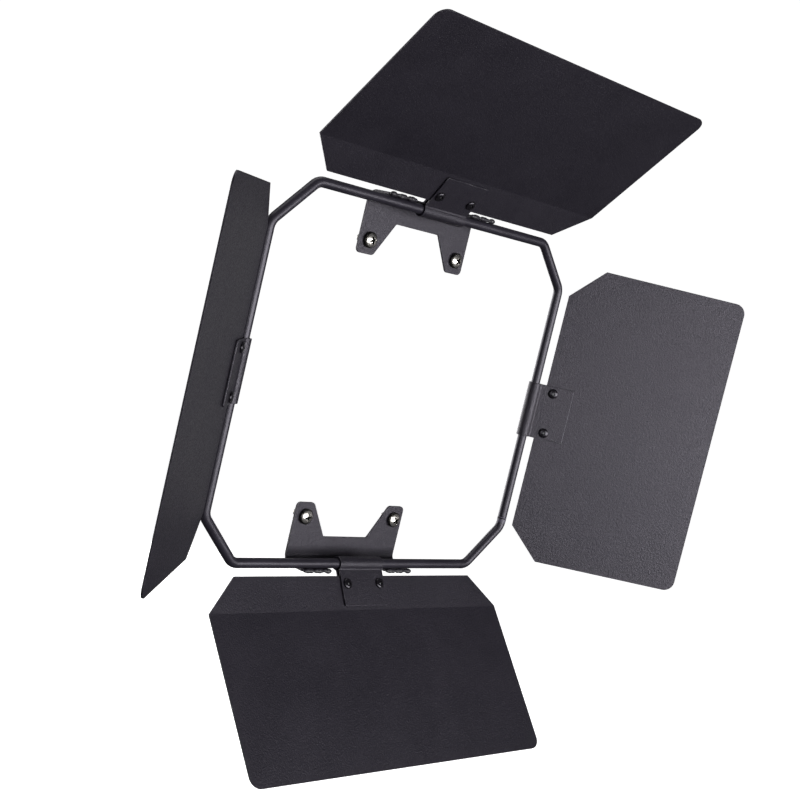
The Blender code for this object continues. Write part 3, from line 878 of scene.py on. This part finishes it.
class BARNDOOR_OT_bracket_screws(bpy.types.Operator):
    """Turn, thread and recess the four bracket screws"""

    bl_idname = "barndoor.bracket_screws"
    bl_label = "Bracket Screws"

    def execute(self, context):
        sizes = settings().screw
        pattern = self.turn_screw(sizes)
        coat(pattern, stored("nickel_plating", make_nickel), stored("nickel_dulled", make_nickel_painted_dark_rim))
        # Painted shade and painted dark reflection: the outer part of the head's top takes the dark
        # nickel.
        edge = 0.84 * sizes.head_radius
        refinish(pattern, 1, lambda at: at.z > 0.0 and hypot(at.x, at.y) > edge)
        for index in range(2):
            cut_with(pattern, self.recess_wing(sizes, index * pi / 2))
        cut_with(pattern, self.recess_middle(sizes))
        modify(
            pattern, "BEVEL", width=0.00006, segments=1, limit_method="ANGLE",
            angle_limit=radians(45), use_clamp_overlap=True)
        self.add_thread(pattern, sizes)
        smooth_by_angle(pattern, radians(35))
        head_face = -(settings().bracket.sheet + CLEARANCE)
        turns = {"upper_left": 20, "upper_right": 65, "lower_left": 10, "lower_right": 38}
        for level, up in LEVELS:
            for hand, side in HANDS:
                label = f"{level}_{hand}"
                at = Matrix.Translation((side * sizes.offset_x, head_face, up * sizes.offset_z))
                place = at @ STAND_UP @ Matrix.Rotation(radians(turns[label]), 4, "Z")
                screw = copy_of(pattern, f"pan_screw_{label}", place)
                hand_over(screw, "frame", "nickel", f"bracket_screw_{label}")
        drop(pattern)
        return {"FINISHED"}

    def turn_screw(self, sizes):
        """Shank and domed head; the head's underside lies at zero."""
        rim = 0.0015                            # height of the head's straight side
        end = -(settings().bracket.sheet + CLEARANCE + sizes.reach)
        chamfer = 0.0006
        profile = [(0.0, end), (sizes.core_radius - chamfer, end), (sizes.core_radius, end + chamfer)]
        profile += [(sizes.core_radius, -0.0012), (sizes.thread_radius, -0.0009)]
        profile += [(sizes.thread_radius, 0.0), (sizes.head_radius - 0.0002, 0.0)]
        profile.append((sizes.head_radius, 0.0002))
        steps = 14
        dome = sizes.head_height - rim
        sphere = (sizes.head_radius ** 2 + dome ** 2) / (2 * dome)
        for step in range(steps):
            radius = sizes.head_radius * (1.0 - step / steps)
            profile.append((radius, sizes.head_height - sphere + sqrt(sphere ** 2 - radius ** 2)))
        profile.append((0.0, sizes.head_height))
        return turned("screw", profile, 48)

    def recess_wing(self, sizes, turn):
        """Cutter for one slot of the cross, narrowing downwards."""
        clear_selection()
        top = 0.0008                            # how far the cutter stands above the head
        span = 1.16 * sizes.recess_span         # and it is widest there
        slot = 1.3 * sizes.recess_slot
        middle = sizes.head_height + (top - sizes.recess_depth) / 2
        bpy.ops.mesh.primitive_cube_add(size=1, location=(0, 0, middle))
        wing = bpy.context.active_object
        wing.scale = (span, slot, sizes.recess_depth + top)
        started("recess_wing")
        pick("FACE", lambda at: near(at.z, sizes.head_height - sizes.recess_depth))
        bpy.ops.transform.resize(value=(0.42, 0.7, 1), center_override=(0, 0, 0))
        bpy.ops.object.mode_set(mode="OBJECT")
        wing.matrix_world = Matrix.Rotation(turn, 4, "Z")
        settle(wing)
        # The cutter's near-black finish passes to the recess walls it cuts: painted shade.
        coat(wing, stored("recess_grime", make_recess_shade_and_seam_dark))
        return wing

    def recess_middle(self, sizes):
        """Cutter for the cross's tapered middle."""
        height = sizes.head_height
        slot = sizes.recess_slot
        profile = [(0.0, height - 1.2 * sizes.recess_depth), (0.55 * slot, height - sizes.recess_depth)]
        profile += [(1.05 * slot, height), (1.05 * slot, height + 0.001), (0.0, height + 0.001)]
        middle = turned("recess_middle", profile, 8)
        # The cutter's near-black finish passes to the recess floor it cuts: painted shade.
        coat(middle, stored("recess_grime", make_recess_shade_and_seam_dark))
        return middle

    def add_thread(self, screw, sizes):
        """Wind a thread's ridge round the shank and join it to the screw."""
        clear_selection()
        turns = 9
        start = -(settings().bracket.sheet + CLEARANCE + sizes.reach) + 0.0008
        crest = sizes.thread_radius - sizes.core_radius + 0.0001
        root = sizes.core_radius - 0.0001
        bpy.ops.mesh.primitive_circle_add(vertices=3, radius=1, location=(0, 0, 0))
        ridge = started("thread_ridge")
        mesh = bmesh.from_edit_mesh(ridge.data)
        rise = 0.45 * sizes.pitch
        corners = ((root, start), (root + crest, start + rise), (root, start + 2 * rise))
        for vert, (across, height) in zip(mesh.verts, corners):
            vert.co = (across, 0.0, height)
        bmesh.update_edit_mesh(ridge.data)
        bpy.ops.object.mode_set(mode="OBJECT")
        modify(
            ridge, "SCREW", angle=2 * pi, screw_offset=sizes.pitch, iterations=turns, steps=28,
            render_steps=28, axis="Z", use_merge_vertices=True, merge_threshold=1e-7)
        bpy.ops.object.mode_set(mode="EDIT")
        bpy.ops.mesh.select_mode(type="EDGE")
        bpy.ops.mesh.select_all(action="DESELECT")
        bpy.ops.mesh.select_non_manifold()
        bpy.ops.mesh.fill()
        close_up()
        coat(ridge, stored("nickel_plating", make_nickel))
        clear_selection()
        ridge.select_set(True)
        screw.select_set(True)
        bpy.context.view_layer.objects.active = screw
        bpy.ops.object.join()


class BARNDOOR_OT_lip_welds(bpy.types.Operator):
    """Lay the four weld beads between the brackets' lips and the rod"""

    bl_idname = "barndoor.lip_welds"
    bl_label = "Lip Welds"

    def execute(self, context):
        sizes = settings().bracket
        rod = settings().ring.rod_radius
        half_height = RING_HIGH.z - rod
        pattern = self.lay_bead()
        coat(pattern, stored("coated_weld_bead", make_weld_bead))
        plane = (RING_LOW.y + RING_HIGH.y) / 2
        bead_y = plane - sizes.overhang - 0.0009        # just past the tabs' ends
        bead_z = half_height + rod + 0.0011             # and half in the corner beside the rod
        middle = (sizes.half_width + sizes.clip_gap) / 2
        for level, up in LEVELS:
            for hand, side in HANDS:
                turn = Matrix.Rotation(0 if up > 0 else pi, 4, "X")
                flip = Matrix.Rotation(0 if side > 0 else pi, 4, "Z") if up > 0 else Matrix.Identity(4)
                place = Matrix.Translation((side * middle, bead_y, up * bead_z)) @ turn @ flip
                weld = copy_of(pattern, f"lip_weld_{level}_{hand}", place)
                hand_over(weld, "frame", "weld", f"weld_{level}_{hand}")
        drop(pattern)
        return {"FINISHED"}

    def lay_bead(self):
        """A row of overlapping puddles, melted together by a remesh."""
        puddles = 9
        half_length = 0.0090
        blobs = []
        for index in range(puddles):
            clear_selection()
            along = half_length * (2 * index / (puddles - 1) - 1)
            size = 0.00080 + 0.00090 * abs(sin(0.9 * index + 0.5))
            drift = 0.00018 * sin(4.1 * index)
            bpy.ops.mesh.primitive_uv_sphere_add(segments=20, ring_count=12, radius=size)
            blob = bpy.context.active_object
            blob.location = (along, drift, 0.0001 * sin(3.3 * index))
            blob.scale = (1.35 + 0.2 * sin(1.7 * index), 1.0, 0.92)
            settle(blob)
            blobs.append(blob)
        clear_selection()
        for blob in blobs:
            blob.select_set(True)
        bpy.context.view_layer.objects.active = blobs[0]
        bpy.ops.object.join()
        bead = bpy.context.active_object
        bead.name = "weld_bead"
        modify(bead, "REMESH", mode="VOXEL", voxel_size=0.00016, use_smooth_shade=True)
        modify(bead, "SMOOTH", factor=0.5, iterations=1)
        return bead


# ---------------------------------------------------------------- leaves, straps and rivets

class BARNDOOR_OT_leaves(bpy.types.Operator):
    """Cut and fold the four leaves"""

    bl_idname = "barndoor.leaves"
    bl_label = "Leaves"

    def execute(self, context):
        sizes = settings().leaf
        wide = self.cut_leaf("wide_leaf", sizes.wide_half, sizes.fold_angle)
        narrow = self.cut_leaf("narrow_leaf", sizes.narrow_half, 0.0)
        for side in SIDES:
            pattern = wide if side in ("top", "bottom") else narrow
            leaf = copy_of(pattern, f"leaf_panel_{side}", hinge_place(side))
            hand_over(leaf, f"{side}_leaf", "powder_coat", f"leaf_{side}")
        drop(wide, narrow)
        return {"FINISHED"}

    def cut_leaf(self, name, half_width, fold_angle):
        """One leaf in its hinge's frame, its hinge edge drawn in by the 45 degree cuts."""
        sizes = settings().leaf
        half_arc = sizes.fold_radius * fold_angle / 2
        cut_end = sizes.start + sizes.cut - half_arc
        leaf = start_plate(name, half_width, sizes.start, cut_end)
        pick("EDGE", lambda at: near(at.y, sizes.start))
        bpy.ops.transform.resize(value=(1 - sizes.cut / half_width, 1, 1), center_override=(0, 0, 0))
        pick("EDGE", lambda at: near(at.y, cut_end))
        if fold_angle:
            bend(fold_angle, (0, cut_end, sizes.fold_radius), 4)
        panel = sizes.reach - sizes.start - sizes.cut - half_arc
        extrude(0, panel * cos(fold_angle), panel * sin(fold_angle))
        bpy.ops.transform.resize(value=(1 - sizes.taper / half_width, 1, 1), center_override=(0, 0, 0))
        if not fold_angle:
            join_flat_faces()
        far = cut_end + panel * cos(fold_angle)
        round_corners(sizes.corner_radius, pi / 2, lambda at: at.y > far - 0.0001, 12)
        round_corners(0.0007, 3 * pi / 4, lambda at: near(at.y, sizes.start), 3)
        thicken(leaf, sizes.sheet)
        rivet = settings().rivet
        for hand in (-1, 1):
            drill(leaf, rivet.radius + CLEARANCE, hand * rivet.offset, rivet.distance)
        coat(leaf, *sheet_finishes())
        break_edges(leaf, 0.0002)
        return leaf


class BARNDOOR_OT_straps(bpy.types.Operator):
    """Fold the four hinge straps round the rod"""

    bl_idname = "barndoor.straps"
    bl_label = "Hinge Straps"

    def execute(self, context):
        pattern = self.fold_strap()
        for side in SIDES:
            strap = copy_of(pattern, f"strap_fold_{side}", hinge_place(side))
            hand_over(strap, f"{side}_leaf", "powder_coat", f"hinge_strap_{side}")
        drop(pattern)
        return {"FINISHED"}

    def fold_strap(self):
        """Front flap, throat, wrap round the rod, throat and rear flap, in the hinge's frame."""
        sizes = settings().strap
        rod = settings().ring.rod_radius
        flap = settings().leaf.sheet / 2 + CLEARANCE + sizes.sheet / 2
        wrap = rod + CLEARANCE + sizes.sheet / 2
        throat = sizes.throat_radius
        opened = atan2(sqrt((wrap + throat) ** 2 - (flap + throat) ** 2), flap + throat)
        throat_y = (wrap + throat) * sin(opened)
        strap = start_plate("strap", sizes.half_width, throat_y, sizes.front_reach, flap)
        pick("EDGE", lambda at: near(at.y, throat_y))
        bend(-opened, (0, throat_y, flap + throat), 6)
        bend(pi + 2 * opened, (0, 0, 0), 32)
        bend(-opened, (0, throat_y, -flap - throat), 6)
        extrude(0, sizes.rear_reach - throat_y, 0)
        round_corners(sizes.corner_radius, pi / 2, lambda at: near(at.y, sizes.front_reach), 4)
        round_corners(sizes.corner_radius, pi / 2, lambda at: near(at.y, sizes.rear_reach), 4)
        thicken(strap, sizes.sheet)
        rivet = settings().rivet
        for hand in (-1, 1):
            drill(strap, rivet.radius + CLEARANCE, hand * rivet.offset, rivet.distance)
        coat(strap, *sheet_finishes())
        break_edges(strap, 0.00024)
        return strap


def rivet_front():
    """Height of a rivet head's underside in its hinge's frame."""
    return settings().leaf.sheet / 2 + settings().strap.sheet + 2 * CLEARANCE


class BARNDOOR_OT_rivets(bpy.types.Operator):
    """Set the eight blind rivets and the stubs of their pulling pins"""

    bl_idname = "barndoor.rivets"
    bl_label = "Rivets"

    def execute(self, context):
        sizes = settings().rivet
        rivet = self.turn_rivet(sizes)
        pin = self.turn_pin(sizes)
        coat(rivet, stored("rivet_gloss_black", make_rivet_black))
        coat(pin, stored("pulling_pin_steel", make_pin_steel))
        for side in SIDES:
            for number, hand in ((1, -1), (2, 1)):
                seat = Matrix.Translation((hand * sizes.offset, sizes.distance, 0))
                place = hinge_place(side) @ seat
                body = f"{side}_leaf"
                head = copy_of(rivet, f"blind_rivet_{side}_{number}", place)
                hand_over(head, body, "black_rivet", f"rivet_{side}_{number}")
                stub = copy_of(pin, f"pulling_pin_{side}_{number}", place)
                hand_over(stub, body, "rivet_pin", f"rivet_pin_{side}_{number}")
        drop(rivet, pin)
        return {"FINISHED"}

    def turn_rivet(self, sizes):
        """Domed head in front, pulled bulb behind and a bore through both."""
        front = rivet_front()
        back = -front
        bulb = sizes.bulb_radius
        length = sizes.bulb_length
        profile = [(sizes.bore, back - length), (sizes.radius, back - length)]
        profile += [(bulb * 0.86, back - length * 0.88), (bulb * 0.97, back - length * 0.66)]
        profile += [(bulb, back - length * 0.40), (bulb * 0.98, back - length * 0.12)]
        profile += [(bulb * 0.90, back), (sizes.radius, back), (sizes.radius, front)]
        profile += [(sizes.head_radius - 0.00008, front), (sizes.head_radius, front + 0.00008)]
        steps = 9
        rim = 0.00025
        for step in range(steps + 1):
            angle = pi / 2 * step / steps
            radius = sizes.bore + (sizes.head_radius - sizes.bore) * cos(angle)
            profile.append((radius, front + rim + (sizes.head_height - rim) * sin(angle)))
        profile.append((sizes.bore, front + sizes.head_height - 0.0002))
        rivet = turned("rivet", profile, 32, closed=True)
        smooth_by_angle(rivet, radians(40))
        return rivet

    def turn_pin(self, sizes):
        """Stub of the pulling pin with its head behind and its snapped end in front."""
        front = rivet_front() + sizes.head_height
        back = -rivet_front() - sizes.bulb_length - CLEARANCE
        head = sizes.pin_head
        shank = sizes.pin_radius
        profile = [(0.0, back - 0.0014), (head * 0.45, back - 0.00136), (head * 0.8, back - 0.00115)]
        profile += [(head, back - 0.0007), (head, back - 0.0001), (head * 0.92, back), (shank, back)]
        profile += [(shank, front - 0.00062), (shank * 0.85, front - 0.00050)]
        profile += [(shank * 0.35, front - 0.00042), (0.0, front - 0.00055)]
        pin = turned("pin", profile, 20)
        smooth_by_angle(pin, radians(40))
        return pin


# ---------------------------------------------------------------- stage

class BARNDOOR_OT_stage(bpy.types.Operator):
    """Set up the floor, the lights and the camera"""

    bl_idname = "barndoor.stage"
    bl_label = "Stage"

    def execute(self, context):
        self.lay_floor()
        self.place_camera()
        self.hang_lights()
        context.scene.view_settings.view_transform = "Standard"
        return {"FINISHED"}

    def lay_floor(self):
        """Plain pale floor that curves up all round; the object's dark coat doesn't mirror it."""
        floor_z = CAD_BOX[0].z - settings().stage.floor_drop
        radius, cove = 3.0, 1.2
        profile = [(0.0, floor_z), (radius, floor_z)]
        steps = 12
        for step in range(1, steps + 1):
            angle = pi / 2 * step / steps
            profile.append((radius + cove * sin(angle), floor_z + cove * (1 - cos(angle))))
        top = profile[-1][1]
        for step in range(1, steps):
            angle = pi / 2 * step / steps
            profile.append(((radius + cove) * cos(angle), top + 3.0 * sin(angle)))
        profile.append((0.0, top + 3.0))
        floor = turned("studio_floor", profile, 96)
        smooth_by_angle(floor, radians(60))
        floor.visible_diffuse = False
        floor.visible_glossy = False
        floor.visible_shadow = False
        finish = Finish("pale_studio_paint", specular=0.0)
        mottle = finish.noise(0.6, detail=2.0)
        colour = finish.shades(mottle, (0.86, 0.86, 0.86), (0.90, 0.90, 0.90))
        finish.feed(finish.shader.inputs["Base Color"], colour)
        finish.shader.inputs["Roughness"].default_value = 0.9
        finish.shader.inputs["Emission Color"].default_value = (1.0, 1.0, 1.0, 1.0)
        finish.shader.inputs["Emission Strength"].default_value = 0.92
        coat(floor, finish.material)

    def place_camera(self):
        """Camera to the lamp's left and level with it, leaning a little."""
        stage = settings().stage
        data = bpy.data.cameras.new("camera")
        data.sensor_width = 36.0
        data.lens = stage.lens
        data.clip_start = 0.01
        data.clip_end = 50.0
        camera = bpy.data.objects.new("camera", data)
        bpy.context.scene.collection.objects.link(camera)
        camera.location = (-0.5918, -0.5874, 0.0797)
        sight = Vector((0.71781796, 0.68866146, -0.10238539))
        camera.rotation_mode = "QUATERNION"
        level = sight.to_track_quat("-Z", "Y")
        camera.rotation_quaternion = level @ Quaternion((0, 0, 1), stage.roll)
        bpy.context.scene.camera = camera

    def hang_lights(self):
        """Wide boxes in front and behind, a small one beside the camera, fills and an even room."""
        stage = settings().stage
        self.soft_box("front_box", (0.22, -1.30, -0.04), (0.01, 0.0, -0.02), (1.42, 0.62), stage.key_power)
        self.soft_box("side_box", (-1.02, -0.98, 0.02), (0.0, 0.0, 0.0), (0.30, 0.50), stage.side_power)
        self.soft_box("high_fill", (-0.4, -0.5, 1.3), (0.0, 0.0, 0.0), (1.0, 1.0), stage.fill_power)
        self.soft_box("rear_fill", (1.25, 0.85, -0.05), (-0.15, -0.05, 0.0), (0.7, 0.9), stage.rear_power)
        self.soft_box("back_box", (-0.10, 1.40, 0.0), (0.0, 0.0, 0.0), (2.20, 1.10), stage.back_power)
        self.soft_box("top_box", (0.0, 0.45, 1.45), (0.0, 0.0, 0.0), (1.60, 0.80), stage.top_power)
        world = bpy.data.worlds.new("even_room")
        world.use_nodes = True
        backdrop = world.node_tree.nodes["Background"]
        backdrop.inputs["Color"].default_value = (0.95, 0.96, 1.0, 1.0)
        backdrop.inputs["Strength"].default_value = stage.ambient
        bpy.context.scene.world = world

    def soft_box(self, name, place, aim, size, power):
        """A rectangular soft light at a place, turned to a point."""
        data = bpy.data.lights.new(name, "AREA")
        data.shape = "RECTANGLE"
        data.size, data.size_y = size
        data.energy = power
        light = bpy.data.objects.new(name, data)
        bpy.context.scene.collection.objects.link(light)
        light.location = place
        light.rotation_euler = (Vector(aim) - Vector(place)).to_track_quat("-Z", "Y").to_euler()


# ---------------------------------------------------------------- panel, registration and run

STEPS = (
    BARNDOOR_OT_ring,
    BARNDOOR_OT_brackets,
    BARNDOOR_OT_bracket_screws,
    BARNDOOR_OT_lip_welds,
    BARNDOOR_OT_leaves,
    BARNDOOR_OT_straps,
    BARNDOOR_OT_rivets,
    BARNDOOR_OT_stage,
)


class BARNDOOR_PT_sidebar(bpy.types.Panel):
    """Steps that build the barn door, in order"""

    bl_idname = "BARNDOOR_PT_sidebar"
    bl_label = "Barn Door"
    bl_space_type = "VIEW_3D"
    bl_region_type = "UI"
    bl_category = "Barn Door"

    def draw(self, context):
        for step in STEPS:
            self.layout.operator(step.bl_idname)


GROUPS = (
    RingSizes, BracketSizes, ScrewSizes, LeafSizes, StrapSizes, RivetSizes, FinishLook, StageLook,
    BarnDoorSettings,
)
CLASSES = (*GROUPS, *STEPS, BARNDOOR_PT_sidebar)


def register():
    """Register the classes and hang the settings on the scene."""
    for each in CLASSES:
        bpy.utils.register_class(each)
    bpy.types.Scene.barn_door = PointerProperty(type=BarnDoorSettings)


def unregister():
    """Undo register."""
    del bpy.types.Scene.barn_door
    for each in reversed(CLASSES):
        bpy.utils.unregister_class(each)


def main():
    """Build every piece and the stage."""
    register()
    for step in STEPS:
        name = step.bl_idname.split(".")[1]
        if getattr(bpy.ops.barndoor, name)() != {"FINISHED"}:
            raise RuntimeError(f"the step {step.bl_label} didn't finish")
    clear_selection()


if __name__ == "__main__":
    main()
